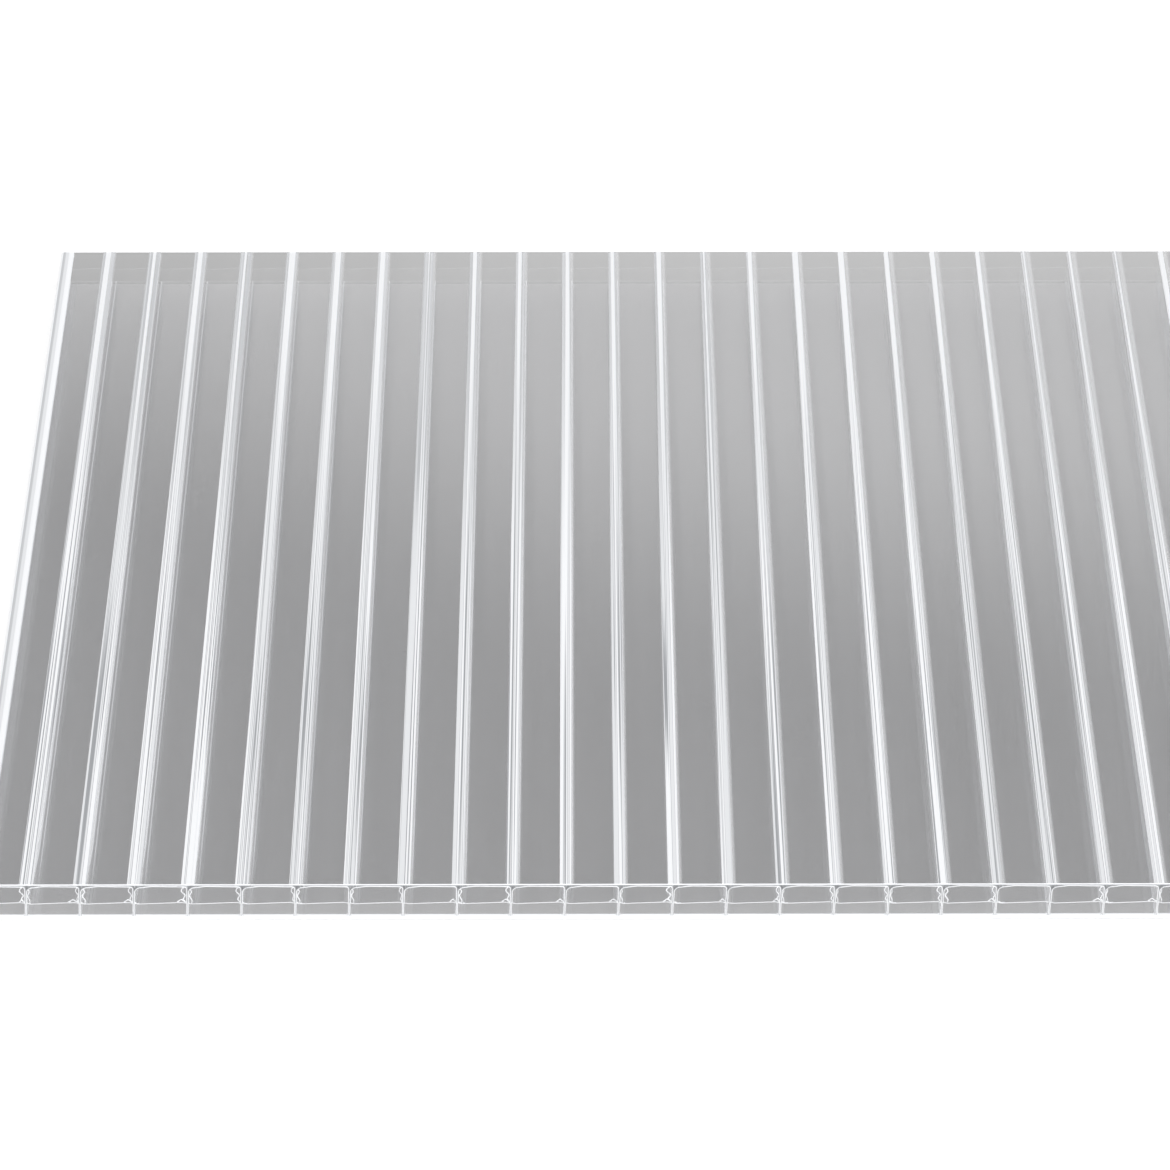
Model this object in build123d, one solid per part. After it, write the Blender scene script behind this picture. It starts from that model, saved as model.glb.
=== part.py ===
from build123d import *
import os

# Extruded multiwall sheet of clear polycarbonate, in millimetres.
# X runs across the ribs, Y along them and Z up through the thickness.
# The origin is the centre of the underside.

# Overall size
sheet_width = 980.0
sheet_length = 500.0
sheet_thickness = 16.0

# Cells, walls and webs of the section
cell_count = 48
edge_margin = 0.6  # from the sheet's side to the middle of its first web
top_wall = 1.1
bottom_wall = 1.1
middle_wall = 0.3
upper_web = 1.0
lower_web = 0.8

# Shape that the section takes as it leaves the die and cools
middle_height = 7.4
middle_ripple = 0.35
ripple_inset = 1.5
web_lean = 0.6
swept_width = 6.0  # plastic that gathers under the upper wall on the right of each web
swept_depth = 0.9
ceiling_drop = 0.25  # how far the upper wall's underside falls on its way to the next web

# Roundings
outer_corner_radius = 0.8
swept_foot_radius = 2.0
swept_top_radius = 12.0
top_corner_radius = 1.0
bottom_corner_radius = 1.0
ripple_radius = 1.2

cell_pitch = (sheet_width - 2 * edge_margin) / cell_count
first_cell_x = edge_margin + cell_pitch / 2 - sheet_width / 2
ceiling = sheet_thickness - top_wall


def rounded_outline(points, radii):
    """Closed outline through the points, rounded at each of them."""
    return Wire(FilletPolyline(*points, radius=radii, close=True).edges())


def web_faces(height, web):
    """X of the web faces left and right of a cell, from its middle: the webs lean over as they rise."""
    lean = web_lean * (height / sheet_thickness - 0.5)
    half_gap = (cell_pitch - web) / 2
    return lean - half_gap, lean + half_gap


def middle_line(height, web):
    """One side of the middle wall across a cell: it dips beside the left web and rises beside the right one."""
    left, right = web_faces(height, web)
    return [
        (left, height),
        (left + ripple_inset, height - middle_ripple),
        (right - ripple_inset, height + middle_ripple),
        (right, height),
    ]


def cell_chambers():
    """Outlines of the chamber above the middle wall and the chamber below it."""
    upper_left, upper_right = web_faces(ceiling, upper_web)
    lower_left, lower_right = web_faces(bottom_wall, lower_web)
    middle_radii = [0, ripple_radius, ripple_radius, 0]
    upper = rounded_outline(
        middle_line(middle_height + middle_wall / 2, upper_web)
        + [
            (upper_right, ceiling - ceiling_drop),
            (upper_left + swept_width, ceiling),
            (upper_left, ceiling - swept_depth),
        ],
        middle_radii + [top_corner_radius, swept_top_radius, swept_foot_radius],
    )
    lower = rounded_outline(
        middle_line(middle_height - middle_wall / 2, lower_web)
        + [(lower_right, bottom_wall), (lower_left, bottom_wall)],
        middle_radii + [bottom_corner_radius, bottom_corner_radius],
    )
    return upper, lower


def sheet_outline():
    side = sheet_width / 2
    corners = [(-side, 0), (side, 0), (side, sheet_thickness), (-side, sheet_thickness)]
    return rounded_outline(corners, outer_corner_radius)


def multiwall_sheet():
    """The whole section, with the same two chambers in every cell, drawn along the ribs."""
    places = [Location((first_cell_x + i * cell_pitch, 0)) for i in range(cell_count)]
    chambers = [outline.moved(place) for outline in cell_chambers() for place in places]
    far_end = Plane.XZ.offset(-sheet_length / 2)
    return extrude(far_end * Face(sheet_outline(), chambers), sheet_length)


os.makedirs("parts", exist_ok=True)
export_step(multiwall_sheet(), "parts/multiwall_sheet.step")
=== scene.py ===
import math
import random

import bpy
from bpy.props import FloatProperty, FloatVectorProperty, IntProperty, PointerProperty
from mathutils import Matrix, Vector


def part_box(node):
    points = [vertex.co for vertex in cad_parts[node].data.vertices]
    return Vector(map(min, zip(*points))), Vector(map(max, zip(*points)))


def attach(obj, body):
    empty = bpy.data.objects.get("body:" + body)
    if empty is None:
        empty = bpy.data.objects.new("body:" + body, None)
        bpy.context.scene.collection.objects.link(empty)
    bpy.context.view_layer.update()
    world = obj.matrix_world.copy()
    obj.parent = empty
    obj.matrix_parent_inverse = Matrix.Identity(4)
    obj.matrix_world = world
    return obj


bl_info = {
    "name": "Multiwall sheet finish",
    "version": (1, 0, 0),
    "blender": (4, 5, 0),
    "location": "3D View > Sidebar > Sheet",
    "description": "Clear extruded finish, sawn ends and a pale studio for a multiwall glazing sheet",
    "category": "Material",
}

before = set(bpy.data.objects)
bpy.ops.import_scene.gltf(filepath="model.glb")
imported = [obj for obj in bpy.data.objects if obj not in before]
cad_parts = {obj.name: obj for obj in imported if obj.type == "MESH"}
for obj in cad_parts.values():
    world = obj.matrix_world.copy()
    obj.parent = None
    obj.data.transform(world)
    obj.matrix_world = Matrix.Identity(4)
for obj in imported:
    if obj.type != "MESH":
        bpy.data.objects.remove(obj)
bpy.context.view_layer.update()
sheet_low, sheet_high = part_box("multiwall_sheet")

BODY = "root"
NODE = "multiwall_sheet"

# The section's own rhythm, as the sheet was drawn, in metres.
CELL_COUNT = 48
EDGE_MARGIN = 0.0006
CELL_PITCH = (sheet_high.x - sheet_low.x - 2 * EDGE_MARGIN) / CELL_COUNT
FIRST_WEB_X = sheet_low.x + EDGE_MARGIN
WEB_LEAN = 0.0006

OUTER_WALL = 0.0011
MIDDLE_LOW = 0.00725
MIDDLE_HIGH = 0.00755
UPPER_WEB = 0.001
LOWER_WEB = 0.0008

# Plastic that gathers under the upper wall: deep on the right of a web, then falling to the next one.
SWEPT_WIDTH = 0.006
SWEPT_DEPTH = 0.0009
CEILING_DROP = 0.00025
SWEPT_RADIUS = 0.00175
CORNER_RADIUS = 0.001

IOR = 1.585
BLACK = (0, 0, 0, 1)
SKIN = 0.0001
SOFT_EDGE = 0.0002
RELIEF_DEPTH = 0.0001

# Ramps of the painted highlights, each from where a zone is absent to where it is full. These three go by
# height.
RISE = (0.008, 0.011)
ON_LOWER_WALL = (0.003, 0.002)
LIP_HEIGHT = (0.0017, 0.0013)

# Ramps along the sheet: inward from the near end, the painted pale lip beside that end, and to the far end.
INWARD = (sheet_low.y + 0.01, sheet_low.y + 0.05)
LIP = (sheet_low.y + 0.002, sheet_low.y + 0.0015)
FARTHER = (-0.05, 0.2)

# Ramp across the sheet, from its middle to its left side.
LEFTWARD = (-0.05, sheet_low.x)

# Ramps by distance: from the middle of the ghost line, a painted reflection of the web, and from a web to
# the core of its bundle of painted highlights.
GHOST_LINE = (0.00035, 0.0001)
BUNDLE_CORE = (0.0011, 0.0007)

# Painted highlight stripes along the sheet's sides: between which distances from the side each
# begins, and how much brighter it is than the one before.
SIDE_STRIPES = ((0.0007, 0.001, -0.64), (0.0017, 0.0023, 0.36), (0.0032, 0.0038, 0.28))

FLOOR_SIDE = 40
FLOOR_GAP = 0.0002

# The studio's wall darkens between these angles above the horizon, and lower down on the left.
DARK_ABOVE = (29.6, 32.9)
DARK_TILT = 0.33

# Burrs beside a web of the front end: the turn of the thread's first ring in degrees, then its way
# in millimetres to the right of the web's middle and up from the underside.
BURRS = (
    (
        0,
        (
            (-0.6, 15.0),
            (-1.2, 14.3),
            (-1.8, 13.5),
            (-2.0, 12.7),
            (-1.6, 12.0),
            (-1.0, 11.4),
            (-0.7, 10.6),
            (-1.1, 9.8),
            (-1.5, 9.0),
            (-1.0, 8.3),
            (-0.6, 7.4),
        ),
    ),
    (
        0,
        (
            (0.8, 14.4),
            (1.0, 13.6),
            (1.4, 12.9),
            (1.5, 12.1),
            (1.1, 11.4),
            (0.8, 10.7),
            (0.9, 9.9),
            (1.3, 9.2),
            (1.6, 8.4),
            (1.5, 7.3),
        ),
    ),
    (90, ((-3.4, 7.8), (-2.8, 8.1), (-2.3, 8.7), (-1.8, 8.8), (-1.2, 8.1), (-0.4, 7.6))),
    (90, ((0.4, 7.6), (0.9, 7.3), (1.4, 7.0), (1.9, 6.9), (2.4, 7.2))),
)


class Value:
    """A shader socket that Python arithmetic extends with Math nodes."""

    def __init__(self, maker, socket):
        self.maker = maker
        self.socket = socket

    def math(self, operation, *others):
        inputs = dict(enumerate((self, *others)))
        return self.maker.node("ShaderNodeMath", {"operation": operation}, inputs)

    def __add__(self, other):
        return self.math("ADD", other)

    def __sub__(self, other):
        return self.math("SUBTRACT", other)

    def __mul__(self, other):
        return self.math("MULTIPLY", other)

    def __truediv__(self, other):
        return self.math("DIVIDE", other)

    def __radd__(self, other):
        return self + other

    def __rmul__(self, other):
        return self * other

    def __rsub__(self, other):
        return self.maker.node("ShaderNodeMath", {"operation": "SUBTRACT"}, {0: other, 1: self})

    def __rtruediv__(self, other):
        return self.maker.node("ShaderNodeMath", {"operation": "DIVIDE"}, {0: other, 1: self})

    def __abs__(self):
        return self.math("ABSOLUTE")

    def at_least(self, other):
        return self.math("MAXIMUM", other)

    def at_most(self, other):
        return self.math("MINIMUM", other)

    def toward(self, other, share):
        """This value where share is 0, the other where it is 1, and between them in between."""
        return self + (other - self) * share

    def step(self, low, high):
        """0 below low, 1 above high and a soft curve between them. It falls where low is above high."""
        settings = {"interpolation_type": "SMOOTHSTEP"}
        inputs = {"Value": self, "From Min": low, "From Max": high}
        return self.maker.node("ShaderNodeMapRange", settings, inputs)


class ShaderMaker:
    """Builds one node tree from the types, settings and inputs of its nodes."""

    def __init__(self, tree):
        self.tree = tree
        tree.nodes.clear()

    def link(self, source, socket):
        if isinstance(source, Value):
            self.tree.links.new(source.socket, socket)
        else:
            socket.default_value = source

    def node(self, kind, settings=None, inputs=None, output=0):
        made = self.tree.nodes.new(kind)
        for name, setting in (settings or {}).items():
            setattr(made, name, setting)
        for key, source in (inputs or {}).items():
            self.link(source, made.inputs[key])
        return Value(self, made.outputs[output])

    def mix_colour(self, factor, first, second):
        inputs = {0: factor, 6: first, 7: second}
        return self.node("ShaderNodeMix", {"data_type": "RGBA"}, inputs, output=2)

    def mix_shader(self, factor, first, second):
        return self.node("ShaderNodeMixShader", inputs={0: factor, 1: first, 2: second})

    def noise(self, scaled, detail=0.0):
        """Noise over the axes in scaled, each of them a place times the noise's waves per metre."""
        way = self.node("ShaderNodeCombineXYZ", inputs=scaled)
        inputs = {"Vector": way, "Scale": 1.0, "Detail": detail}
        return self.node("ShaderNodeTexNoise", inputs=inputs)

    def plastic(self, colour, roughness, relief, relief_strength, painted_glow_colour, glow):
        """Solid polycarbonate with a fine relief and a painted glow, light that it gives off though it is
        no lamp.
        """
        inputs = {"Strength": relief_strength, "Distance": RELIEF_DEPTH, "Height": relief}
        bump = self.node("ShaderNodeBump", inputs=inputs)
        inputs = {
            "Base Color": colour,
            "Roughness": roughness,
            "IOR": IOR,
            "Normal": bump,
            "Emission Color": painted_glow_colour,
            "Emission Strength": glow,
        }
        return self.node("ShaderNodeBsdfPrincipled", inputs=inputs)

    def position(self):
        """The X, Y and Z of a point in the sheet's own frame."""
        place = self.node("ShaderNodeTexCoord", output="Object")
        split = self.node("ShaderNodeSeparateXYZ", inputs={0: place}).socket.node
        return [Value(self, split.outputs[axis]) for axis in "XYZ"]

    def finish(self, shader, kind="ShaderNodeOutputMaterial"):
        made = self.tree.nodes.new(kind)
        self.tree.links.new(shader.socket, made.inputs["Surface"])


def new_material(name):
    material = bpy.data.materials.new(name)
    material.use_nodes = True
    material.cycles.emission_sampling = "NONE"
    return material, ShaderMaker(material.node_tree)


class Spot:
    """Where a point is on the sheet, in the ways that the sheet's finish goes by."""

    def __init__(self, make):
        self.x, self.y, self.z = make.position()
        lean = (self.z - sheet_high.z / 2) * (WEB_LEAN / sheet_high.z)
        cell = (self.x - lean - FIRST_WEB_X) / CELL_PITCH
        self.past_web = cell.math("FRACT") * CELL_PITCH
        self.from_web = self.past_web.at_most(CELL_PITCH - self.past_web)
        self.from_side = sheet_high.x - abs(self.x)
        self.at_end = abs(self.y).math("GREATER_THAN", sheet_high.y - SKIN)
        off_middle = abs(self.z - sheet_high.z / 2)
        self.outside = off_middle.math("GREATER_THAN", sheet_high.z / 2 - 0.0005)
        self.rise = self.z.step(*RISE)
        self.far = self.y.step(*FARTHER)
        self.left = self.x.step(*LEFTWARD)


class SheetFinish(bpy.types.PropertyGroup):
    wall_tint: FloatVectorProperty(
        name="Wall tint",
        description="Light that one face of a wall lets through",
        subtype="COLOR",
        default=(0.965, 0.965, 0.967),
    )
    light_tint: FloatVectorProperty(
        name="Light tint",
        description="Light that one face passes on to the plastic behind it",
        subtype="COLOR",
        default=(0.9, 0.9, 0.9),
    )
    streaks: FloatProperty(
        name="Die streaks",
        description="How much the gloss varies in faint streaks along the ribs",
        default=0.25,
        min=0.0,
        max=1.0,
        subtype="FACTOR",
    )
    # Painted highlight: the brightest lines beside the webs, standing in for the light that the rounded
    # plastic bends.
    highlight_white: FloatVectorProperty(
        name="Rib white",
        description="Brightest lines in the thick plastic beside the webs, which gathers light",
        subtype="COLOR",
        default=(0.94, 0.955, 0.975),
    )
    # Painted highlight: the dimmest lines of those bundles.
    highlight_grey: FloatVectorProperty(
        name="Rib grey",
        description="Dimmest lines in the thick plastic beside the webs",
        subtype="COLOR",
        default=(0.34, 0.35, 0.37),
    )
    # The whitened zone is painted highlight, standing in for the light that the plastic beside the webs
    # bends.
    roof_reach: FloatProperty(
        name="Reach under the upper wall",
        description="How far the whitened zone reaches from the middle of a web at the upper wall",
        default=0.0023,
        unit="LENGTH",
    )
    narrowing: FloatProperty(
        name="Narrowing",
        description="How much less far that zone reaches at the sheet's far end",
        default=0.0008,
        unit="LENGTH",
    )
    widening: FloatProperty(
        name="Widening",
        description="How much farther that zone reaches on the sheet's left than on its right",
        default=0.0008,
        unit="LENGTH",
    )
    foot_reach: FloatProperty(
        name="Reach at the foot",
        description="How far the whitened zone reaches from a web's middle where the web alone is white",
        default=0.0006,
        unit="LENGTH",
    )
    base_reach: FloatProperty(
        name="Reach on the lower wall",
        description="How far the whitened zone reaches to the right of a web's middle at the lower wall",
        default=0.0021,
        unit="LENGTH",
    )
    # Painted haze of light on the right of each web.
    tail_reach: FloatProperty(
        name="Tail reach",
        description="How far the pale haze of the gathered plastic reaches on the right of a web",
        default=0.0036,
        unit="LENGTH",
    )
    tail_opacity: FloatProperty(
        name="Tail opacity",
        description="How solid that haze looks",
        default=0.25,
        min=0.0,
        max=1.0,
        subtype="FACTOR",
    )
    # Painted reflection of the web: a faint line on the lower wall.
    ghost_place: FloatProperty(
        name="Ghost line",
        description="Distance from the middle of a web to the faint line on the lower wall",
        default=0.003,
        unit="LENGTH",
    )
    ghost_opacity: FloatProperty(
        name="Ghost opacity",
        description="How solid the faint line on the lower wall looks",
        default=0.8,
        min=0.0,
        max=1.0,
        subtype="FACTOR",
    )
    # Painted highlight on the upright sides of the webs: how much of the highlight white they show.
    web_opacity: FloatProperty(
        name="Web opacity",
        description="How solid the sides of the webs look",
        default=0.4,
        min=0.0,
        max=1.0,
        subtype="FACTOR",
    )
    far_thinning: FloatProperty(
        name="Thinning of the webs",
        description="Share of that opacity that is lost at the sheet's far end",
        default=0.75,
        min=0.0,
        max=1.0,
        subtype="FACTOR",
    )
    far_clearing: FloatProperty(
        name="Clearing of the dim lines",
        description="How see-through the dim lines on the outer faces become at the far end",
        default=0.5,
        min=0.0,
        max=1.0,
        subtype="FACTOR",
    )
    # Painted glow: the bundles on the outer faces give off light though they are no lamp.
    rib_painted_glow: FloatProperty(
        name="Rib glow",
        description="Light that the bundles on the outer faces gather and give off",
        default=0.1,
        min=0.0,
    )
    # Painted glow of the rounded plastic inside the chambers.
    inner_painted_glow: FloatProperty(
        name="Inner glow",
        description="Light that the rounded plastic inside the chambers gathers and gives off",
        default=0.45,
        min=0.0,
    )
    # Painted highlight along the sheet's sides, in stripes.
    edge_reach: FloatProperty(
        name="Edge reach",
        description="How far the whitened zone reaches in from the sheet's sides",
        default=0.0056,
        unit="LENGTH",
    )
    # Painted highlight along the arrises of the cut ends.
    arris_width: FloatProperty(
        name="Arris width",
        description="Width of the white line along the edges of the cut ends",
        default=0.00045,
        unit="LENGTH",
    )
    sawn_grey: FloatVectorProperty(
        name="Sawn grey",
        description="Frosted plastic between the arrises of a cut end",
        subtype="COLOR",
        default=(0.36, 0.37, 0.385),
    )
    sawn_core: FloatVectorProperty(
        name="Sawn core",
        description="Darker middle of a cut end where a web meets an outer wall",
        subtype="COLOR",
        default=(0.15, 0.155, 0.165),
    )
    # Painted glow of the cut ends, stronger at the outer walls.
    sawn_painted_glow: FloatProperty(
        name="Sawn glow",
        description="Light that the cut ends, to which the outer walls carry it, give off",
        default=0.45,
        min=0.0,
    )
    sawn_opacity: FloatProperty(
        name="Sawn opacity",
        description="How solid the frosted cut ends look",
        default=0.95,
        min=0.0,
        max=1.0,
        subtype="FACTOR",
    )


class SawBurrs(bpy.types.PropertyGroup):
    thickness: FloatProperty(
        name="Thickness",
        description="Mean thickness of a burr",
        default=0.00042,
        unit="LENGTH",
    )
    share: FloatProperty(
        name="Share",
        description="Share of the webs that have each kind of burr",
        default=0.62,
        min=0.0,
        max=1.0,
        subtype="FACTOR",
    )
    seed: IntProperty(
        name="Seed",
        description="Number that settles which webs have burrs",
        default=7,
        min=0,
    )
    white: FloatVectorProperty(
        name="White",
        description="Torn plastic",
        subtype="COLOR",
        default=(0.94, 0.955, 0.975),
    )
    dull: FloatVectorProperty(
        name="Dull",
        description="Dimmer patches of the torn plastic",
        subtype="COLOR",
        default=(0.5, 0.51, 0.53),
    )
    # Painted glow: the burrs give off light though they are no lamp.
    glow: FloatProperty(
        name="Glow",
        description="Light that a burr gathers and gives off",
        default=0.45,
        min=0.0,
    )


class Studio(bpy.types.PropertyGroup):
    floor_colour: FloatVectorProperty(
        name="Floor",
        description="Colour of the floor",
        subtype="COLOR",
        default=(0.95, 0.95, 0.95),
    )
    floor_lift: FloatProperty(
        name="Floor lift",
        description="Light that the floor adds where it is looked at",
        default=0.23,
        min=0.0,
    )
    shade: FloatProperty(
        name="Shade",
        description="Depth of the shade on the floor just behind the sheet",
        default=0.648,
        min=0.0,
        max=1.0,
        subtype="FACTOR",
    )
    shade_left: FloatProperty(
        name="Shade on the left",
        description="How much deeper that shade is at the sheet's left side",
        default=0.1,
        min=0.0,
        max=1.0,
        subtype="FACTOR",
    )
    shade_end: FloatProperty(
        name="Shade beside the end",
        description="How much lighter that shade is right beside the sheet's end",
        default=0.055,
        min=0.0,
        max=1.0,
        subtype="FACTOR",
    )
    shade_reach: FloatProperty(
        name="Shade reach",
        description="How far the shade reaches out from the sheet's far end",
        default=0.0296,
        unit="LENGTH",
    )
    contact_shade: FloatProperty(
        name="Contact shade",
        description="How much less the floor adds just under the sheet's far end",
        default=0.3,
        min=0.0,
        max=1.0,
        subtype="FACTOR",
    )
    contact_reach: FloatProperty(
        name="Contact shade reach",
        description="How far that shade reaches in under the sheet",
        default=0.013,
        unit="LENGTH",
    )
    soft_light: FloatProperty(
        name="Soft light",
        description="Brightness of the studio all around",
        default=0.96,
        min=0.0,
    )
    back_light: FloatProperty(
        name="Back light",
        description="Brightness of the wall that the sheet mirrors near the camera",
        default=0.33,
        min=0.0,
    )
    lamp_power: FloatProperty(
        name="Lamp power",
        description="Strength of the soft light behind the camera",
        default=1.6,
        min=0.0,
    )


class SHEET_OT_finish(bpy.types.Operator):
    """Gives the sheet its clear extruded finish, with painted highlights and a painted glow along the webs,
    and frosted sawn ends with painted highlights along their arrises
    """

    bl_idname = "sheet.finish"
    bl_label = "Finish the sheet"

    def execute(self, context):
        look = context.scene.sheet_finish
        material, make = new_material("clear extruded polycarbonate")
        spot = Spot(make)
        film = self.film(make, look, spot)
        reach = self.reach(look, spot)
        rib = self.rib(make, look, spot, reach, film)
        body = make.mix_shader(self.highlighted(look, spot, reach), film, rib)
        behind = make.node("ShaderNodeNewGeometry", output="Backfacing")
        sawn = spot.at_end * look.sawn_opacity * (1 - behind)
        surface = make.mix_shader(sawn, body, self.sawn_end(make, look, spot))
        shadow = make.node("ShaderNodeLightPath", output="Is Shadow Ray")
        passed = self.passed_light(make, look, spot)
        make.finish(make.mix_shader(shadow, surface, passed))
        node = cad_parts[NODE]
        node.data.materials.clear()
        node.data.materials.append(material)
        return {"FINISHED"}

    def passed_light(self, make, look, spot):
        """What a face lets through to other faces. The underside keeps the floor below it in shade."""
        passed = make.node("ShaderNodeBsdfTransparent", inputs={"Color": (*look.light_tint, 1)})
        kept = make.node("ShaderNodeBsdfTransparent", inputs={"Color": BLACK})
        return make.mix_shader(spot.z.math("GREATER_THAN", OUTER_WALL / 2), kept, passed)

    def reach(self, look, spot):
        """How far the zone of painted highlights reaches from a web under the upper wall."""
        reach = look.roof_reach - spot.far * look.narrowing * (1 - spot.left)
        return reach + (spot.left - 0.5) * look.widening

    def highlighted(self, look, spot, reach):
        """Where painted highlights make the plastic beside the webs and along the sheet's sides look white,
        from 0 to 1: with a painted haze right of each web, a painted reflection of the web on the lower
        wall and a painted pale lip at the near end.
        """
        foot = look.foot_reach
        inward = spot.y.step(*INWARD)
        base = foot + inward * (look.base_reach - foot) - spot.far * look.narrowing
        right = base + spot.rise * (reach - base) - spot.past_web
        left = foot + spot.rise * (reach - foot) - CELL_PITCH + spot.past_web
        zone = right.step(0, SOFT_EDGE).at_least(left.step(0, SOFT_EDGE))
        side = (look.edge_reach - spot.from_side).step(0, SOFT_EDGE) * spot.rise
        tail = spot.past_web.step(look.tail_reach, look.roof_reach) * spot.rise * look.tail_opacity
        ghost = abs(spot.past_web - look.ghost_place).step(*GHOST_LINE) * inward
        ghost = ghost * spot.z.step(*ON_LOWER_WALL) * look.ghost_opacity
        lip = spot.y.step(*LIP) * spot.z.step(*LIP_HEIGHT)
        return zone.at_least(side).at_least(tail).at_least(ghost).at_least(lip)

    def rib(self, make, look, spot, reach, film):
        """Painted highlights: bundles of bright lines along the webs, standing in for the light that the
        rounded plastic there bends, with a painted glow.
        """
        grain = make.noise({"X": spot.x * 1250, "Y": spot.y * 1.5, "Z": spot.z * 300})
        gap = abs(grain - 0.5).step(0.01, 0.07)
        tone = grain.step(0.44, 0.58)
        near = gap * (0.75 + tone * 0.25)
        wander = make.noise({"X": spot.x * 400, "Y": spot.y * 1.5, "Z": spot.z * 100})
        core = (spot.from_web + (wander - 0.5) * 0.0028).step(*BUNDLE_CORE)
        broad = core.at_least(tone * 0.3)
        bright = near.toward(0.36 + broad * 0.56, spot.far)
        haze = spot.from_web.step(reach - SKIN, reach).at_least(spot.z.step(*ON_LOWER_WALL))
        bright = bright.toward(0.85, haze)
        side = spot.from_side.step(look.edge_reach + SKIN, look.edge_reach)
        bright = bright.toward(self.side_stripes(spot), side)
        # Colour of the painted highlights, also given off as a painted glow that is dimmer on the outer
        # faces.
        glow = make.mix_colour(bright, (*look.highlight_grey, 1), (*look.highlight_white, 1))
        dimmed = 1 - look.rib_painted_glow / look.inner_painted_glow
        painted_glow_colour = make.mix_colour(spot.outside * dimmed, glow, BLACK)
        white = make.plastic(glow, 0.35, grain, 0.15, painted_glow_colour, look.inner_painted_glow)
        cleared = spot.outside * (1 - broad.at_least(side)) * spot.far * look.far_clearing
        see_through = 1 - look.web_opacity * (1 - spot.far * look.far_thinning)
        return make.mix_shader(1 - self.web_face(spot) * see_through - cleared, film, white)

    def side_stripes(self, spot):
        """Brightness of the painted highlight stripes along the sheet's sides."""
        bright = 1
        for start, end, change in SIDE_STRIPES:
            bright = bright + spot.from_side.step(start, end) * change
        return bright

    def web_face(self, spot):
        """1 on the upright faces of the webs, below the plastic that gathers under the upper wall."""
        beside = spot.from_web.step(UPPER_WEB / 2 + 0.0002, UPPER_WEB / 2 + 0.00005)
        roof = sheet_high.z - OUTER_WALL
        return beside * spot.z.step(roof - 0.0001, roof - 0.0007) * (1 - spot.outside)

    def sawn_end(self, make, look, spot):
        """Frosted saw cut: grey and scored in the middle of a wall, with painted highlights along its
        arrises and over the lower wall, and a painted glow.
        """
        uneven = make.noise({"X": spot.x * 900, "Z": spot.z * 900}, detail=2.0)
        wander = (uneven - 0.5) * 0.0003
        past_web = spot.past_web + wander
        height = spot.z + wander
        rim = self.from_upper(past_web, height).at_most(self.from_lower(past_web, height))
        rim = rim.at_most((sheet_high.z - height).at_most(height) - SKIN)
        # Painted highlights: along the arrises, and over the whole cut end of the lower wall.
        arris = rim.step(look.arris_width, look.arris_width * 0.5)
        score = make.noise({"X": spot.x * 3500, "Z": spot.z * 500}, detail=1.0)
        lower_wall = height.step(OUTER_WALL + 0.0006, OUTER_WALL + 0.0001)
        bright = arris.at_least(score.step(0.45, 0.8) * 0.5).at_least(lower_wall)
        deep = rim.step(0.00045, 0.0007) * height.step(0.006, 0.01)
        core = make.mix_colour(deep, (*look.sawn_grey, 1), (*look.sawn_core, 1))
        frost = make.mix_colour(bright, core, (*look.highlight_white, 1))
        # Painted glow of the cut end: its frost colour given off, stronger at the outer walls.
        from_face = height.at_most(sheet_high.z - height)
        outer_wall = from_face.step(OUTER_WALL + 0.0007, OUTER_WALL + 0.0001)
        gathered = make.mix_colour(0.45 + outer_wall * 0.55, BLACK, frost)
        return make.plastic(frost, 0.55, score, 0.4, gathered, look.sawn_painted_glow)

    def from_upper(self, past_web, height):
        """Distance of a point on the cut end to the outline of the chamber above the middle wall."""
        left = past_web - UPPER_WEB / 2
        right = CELL_PITCH - UPPER_WEB / 2 - past_web
        below = sheet_high.z - OUTER_WALL - height
        swept = below - SWEPT_DEPTH + left * (SWEPT_DEPTH / SWEPT_WIDTH)
        falling = below - (left - SWEPT_WIDTH) * (CEILING_DROP / (CELL_PITCH - SWEPT_WIDTH))
        upper = self.rounded(left, swept, SWEPT_RADIUS)
        upper = upper.at_least(self.rounded(right, falling, CORNER_RADIUS))
        return upper.at_least(MIDDLE_HIGH - height)

    def from_lower(self, past_web, height):
        """The same for the chamber below the middle wall."""
        side = past_web.at_most(CELL_PITCH - past_web) - LOWER_WEB / 2
        return self.rounded(side, height - OUTER_WALL, CORNER_RADIUS).at_least(height - MIDDLE_LOW)

    def rounded(self, side, end, radius):
        """Distance to two walls that meet in a rounding, from the distances inward from each."""
        over = (radius - side).at_least(0.0)
        past = (radius - end).at_least(0.0)
        inner = (radius - side).at_least(radius - end).at_most(0.0)
        return (over * over + past * past).math("SQRT") + inner - radius

    def film(self, make, look, spot):
        """A thin face of clear plastic: it mirrors by Fresnel's rule and lets the rest straight through."""
        behind = make.node("ShaderNodeNewGeometry", output="Backfacing")
        both_ways = IOR + behind * (1 / IOR - IOR)
        mirrored = make.node("ShaderNodeFresnel", inputs={"IOR": both_ways})
        streaks = make.noise({"X": spot.x * 160, "Y": spot.y * 3})
        mirrored = mirrored * (1 + (streaks - 0.5) * look.streaks) * (1 - spot.at_end)
        through = make.node("ShaderNodeBsdfTransparent", inputs={"Color": (*look.wall_tint, 1)})
        inputs = {"Color": (1, 1, 1, 1), "Roughness": 0.0}
        gloss = make.node("ShaderNodeBsdfAnisotropic", inputs=inputs)
        return make.mix_shader(mirrored, through, gloss)


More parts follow.
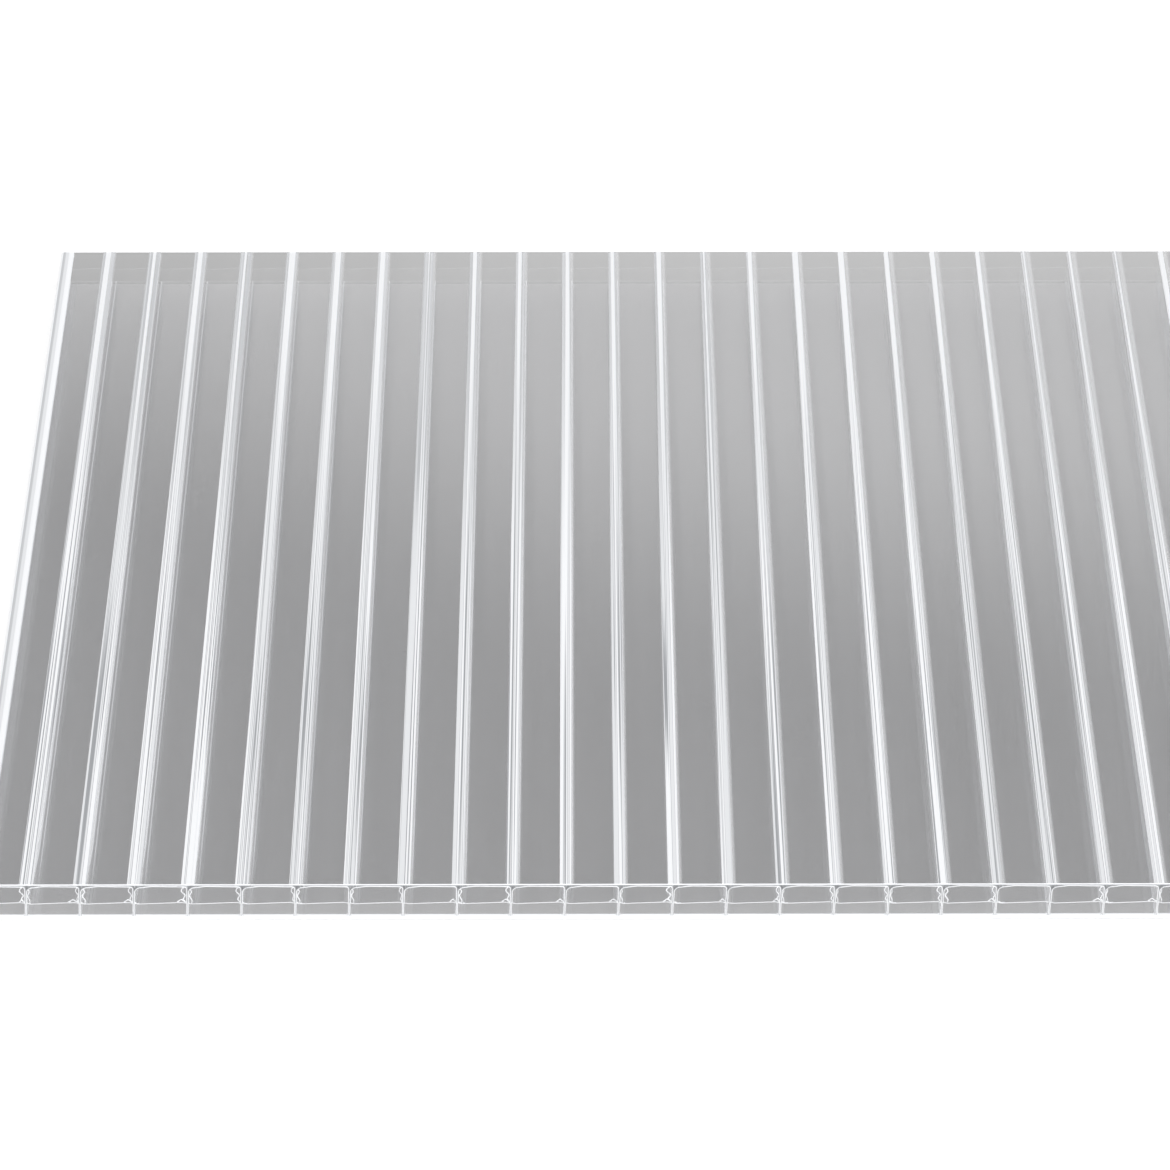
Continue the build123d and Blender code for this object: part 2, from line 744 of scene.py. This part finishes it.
class SHEET_OT_burrs(bpy.types.Operator):
    """Raises the ragged burrs that the saw leaves beside the webs of the front end"""

    bl_idname = "sheet.burrs"
    bl_label = "Raise the saw burrs"

    def execute(self, context):
        look = context.scene.sheet_burrs
        pick = random.Random(look.seed)
        models = [self.thread(look, turn, path) for turn, path in BURRS]
        copies = []
        for web in range(1, CELL_COUNT):
            for model in models:
                if pick.random() < look.share:
                    copies.append(self.beside(context, model, web, pick))
        bpy.ops.object.select_all(action="DESELECT")
        for model in models:
            model.select_set(True)
        bpy.ops.object.delete()
        for copy in copies:
            copy.select_set(True)
        context.view_layer.objects.active = copies[0]
        bpy.ops.object.join()
        bpy.ops.object.transform_apply(location=True, rotation=True, scale=True)
        burrs = context.object
        burrs.name = "saw_burrs"
        burrs.data.materials.append(self.material(look))
        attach(burrs, BODY)
        return {"FINISHED"}

    def thread(self, look, turn, path):
        """One uneven thread of plastic along the path, with its first ring turned to face along it."""
        depth = sheet_low.y + look.thickness
        points = [Vector((x / 1000, depth, z / 1000)) for x, z in path]
        bpy.ops.object.select_all(action="DESELECT")
        bpy.ops.mesh.primitive_circle_add(
            vertices=6,
            radius=look.thickness / 2,
            fill_type="NGON",
            location=points[0],
            rotation=(0, math.radians(turn), 0),
        )
        bpy.ops.object.mode_set(mode="EDIT")
        for i, (here, there) in enumerate(zip(points, points[1:])):
            size = (1.3, 0.75, 1.15, 0.9)[i % 4]
            bpy.ops.mesh.extrude_region_move(TRANSFORM_OT_translate={"value": there - here})
            bpy.ops.transform.resize(value=(size, size, size), center_override=there)
        bpy.ops.mesh.select_all(action="SELECT")
        bpy.ops.mesh.normals_make_consistent(inside=False)
        bpy.ops.object.mode_set(mode="OBJECT")
        bpy.ops.object.shade_smooth()
        bpy.ops.object.transform_apply(location=True, rotation=True, scale=True)
        return bpy.context.object

    def beside(self, context, model, web, pick):
        """A copy of a thread at its web, a little wider or narrower than the others."""
        copy = model.copy()
        copy.data = model.data.copy()
        context.collection.objects.link(copy)
        copy.location.x = FIRST_WEB_X + web * CELL_PITCH + pick.uniform(-0.0001, 0.0002)
        copy.scale.x = pick.uniform(0.75, 1.3)
        return copy

    def material(self, look):
        material, make = new_material("raised saw burr")
        x, _, z = make.position()
        patches = make.noise({"X": x * 2500, "Z": z * 2500}, detail=2.0)
        colour = make.mix_colour(patches.step(0.3, 0.6), (*look.dull, 1), (*look.white, 1))
        roughness = 0.3 + patches * 0.3
        # The burrs' own colour is also given off as a painted glow.
        make.finish(make.plastic(colour, roughness, patches, 0.5, colour, look.glow))
        return material


class SHEET_OT_studio(bpy.types.Operator):
    """Lays the pale floor, and sets the studio's light and the camera"""

    bl_idname = "sheet.studio"
    bl_label = "Set up the studio"

    def execute(self, context):
        studio = context.scene.sheet_studio
        self.floor(studio)
        self.world(context, studio)
        self.camera(context)
        self.lamps(context, studio)
        context.scene.view_settings.view_transform = "Standard"
        context.scene.cycles.transparent_max_bounces = 24
        context.scene.cycles.glossy_bounces = 2
        context.scene.cycles.diffuse_bounces = 0
        context.scene.cycles.use_light_tree = False
        context.scene.cycles.debug_use_spatial_splits = True
        return {"FINISHED"}

    def floor(self, studio):
        bpy.ops.object.select_all(action="DESELECT")
        bpy.ops.mesh.primitive_plane_add(size=FLOOR_SIDE, location=(0, 0, -FLOOR_GAP))
        floor = bpy.context.object
        floor.name = "floor"
        floor.data.materials.append(self.floor_material(studio))

    def floor_material(self, studio):
        """Matt floor, shaded behind the sheet's far end, that adds some light where it is looked at."""
        material, make = new_material("pale floor")
        path = make.node("ShaderNodeLightPath").socket.node
        looked_at = Value(make, path.outputs["Is Camera Ray"])
        for name in ("Is Glossy Ray", "Is Transmission Ray"):
            looked_at = looked_at.math("MAXIMUM", Value(make, path.outputs[name]))
        x, y, _ = make.position()
        behind = y - sheet_high.y
        contact = (behind / studio.contact_reach + 1).at_least(0.0)
        contact = contact * contact * behind.step(SOFT_EDGE, 0) * studio.contact_shade
        depth = studio.shade + x.step(-0.2, -0.5) * studio.shade_left
        depth = depth - behind.step(0.002, 0.0017) * studio.shade_end
        strip = behind.step(studio.shade_reach, studio.shade_reach * 0.99)
        strip = strip * behind.step(-SOFT_EDGE, 0) * (abs(x) - sheet_high.x).step(0.004, 0.0)
        pale = make.node("ShaderNodeBsdfDiffuse", inputs={"Color": (*studio.floor_colour, 1)})
        dark = make.node("ShaderNodeBsdfDiffuse", inputs={"Color": BLACK})
        unlit = make.node("ShaderNodeEmission", inputs={"Strength": 0.0})
        lift = make.node("ShaderNodeEmission", inputs={"Strength": studio.floor_lift})
        matt = make.mix_shader(strip * depth, pale, dark)
        added = make.mix_shader(looked_at * (1 - contact), unlit, lift)
        make.finish(make.node("ShaderNodeAddShader", inputs={0: matt, 1: added}))
        return material

    def world(self, context, studio):
        world = bpy.data.worlds.new("studio")
        context.scene.world = world
        world.use_nodes = True
        make = ShaderMaker(world.node_tree)
        way = make.node("ShaderNodeTexCoord", output="Generated")
        split = make.node("ShaderNodeSeparateXYZ", inputs={0: way}).socket.node
        ahead = Value(make, split.outputs["Y"])
        left = Value(make, split.outputs["X"]).math("MINIMUM", 0.0)
        height = Value(make, split.outputs["Z"]) - left * DARK_TILT
        dark = height.step(*(math.sin(math.radians(angle)) for angle in DARK_ABOVE))
        dark = dark * ahead.step(0.3, 0.6)
        strength = studio.soft_light + dark * (studio.back_light - studio.soft_light)
        surface = make.node("ShaderNodeBackground", inputs={"Strength": strength})
        make.finish(surface, "ShaderNodeOutputWorld")

    def lamps(self, context, studio):
        camera = context.scene.camera
        bpy.ops.object.light_add(type="SUN", location=camera.location)
        lamp = bpy.context.object
        lamp.name = "front light"
        lamp.rotation_euler = camera.rotation_euler
        lamp.data.angle = math.radians(4)
        lamp.data.energy = studio.lamp_power

    def camera(self, context):
        photo_side = 1170
        focal_pixels = 6195
        pitch = math.radians(31.56)
        yaw = math.radians(0.118)
        depth = 2.339
        below_axis = 0.1129
        front = Vector((-0.2615, sheet_low.y, sheet_high.z))
        forward = Vector((0, math.cos(pitch), -math.sin(pitch)))
        up = Vector((0, math.sin(pitch), math.cos(pitch)))
        data = bpy.data.cameras.new("camera")
        data.sensor_width = 36
        data.lens = focal_pixels / photo_side * data.sensor_width
        data.clip_end = 100
        camera = bpy.data.objects.new("camera", data)
        context.scene.collection.objects.link(camera)
        camera.location = front - forward * depth + up * below_axis
        camera.rotation_euler = (math.pi / 2 - pitch, 0, -yaw)
        context.scene.camera = camera


class SHEET_PT_panel(bpy.types.Panel):
    """Lists the sheet's finish and its studio"""

    bl_idname = "SHEET_PT_panel"
    bl_label = "Multiwall sheet"
    bl_space_type = "VIEW_3D"
    bl_region_type = "UI"
    bl_category = "Sheet"

    def draw(self, context):
        for group, operator in (
            (context.scene.sheet_finish, SHEET_OT_finish),
            (context.scene.sheet_burrs, SHEET_OT_burrs),
            (context.scene.sheet_studio, SHEET_OT_studio),
        ):
            box = self.layout.box()
            for name in type(group).__annotations__:
                box.prop(group, name)
            box.operator(operator.bl_idname)


CLASSES = (
    SheetFinish,
    SawBurrs,
    Studio,
    SHEET_OT_finish,
    SHEET_OT_burrs,
    SHEET_OT_studio,
    SHEET_PT_panel,
)


def register():
    for made in CLASSES:
        bpy.utils.register_class(made)
    bpy.types.Scene.sheet_finish = PointerProperty(type=SheetFinish)
    bpy.types.Scene.sheet_burrs = PointerProperty(type=SawBurrs)
    bpy.types.Scene.sheet_studio = PointerProperty(type=Studio)


def unregister():
    del bpy.types.Scene.sheet_studio
    del bpy.types.Scene.sheet_burrs
    del bpy.types.Scene.sheet_finish
    for made in reversed(CLASSES):
        bpy.utils.unregister_class(made)


def main():
    register()
    bpy.ops.sheet.finish()
    bpy.ops.sheet.burrs()
    bpy.ops.sheet.studio()


if __name__ == "__main__":
    main()
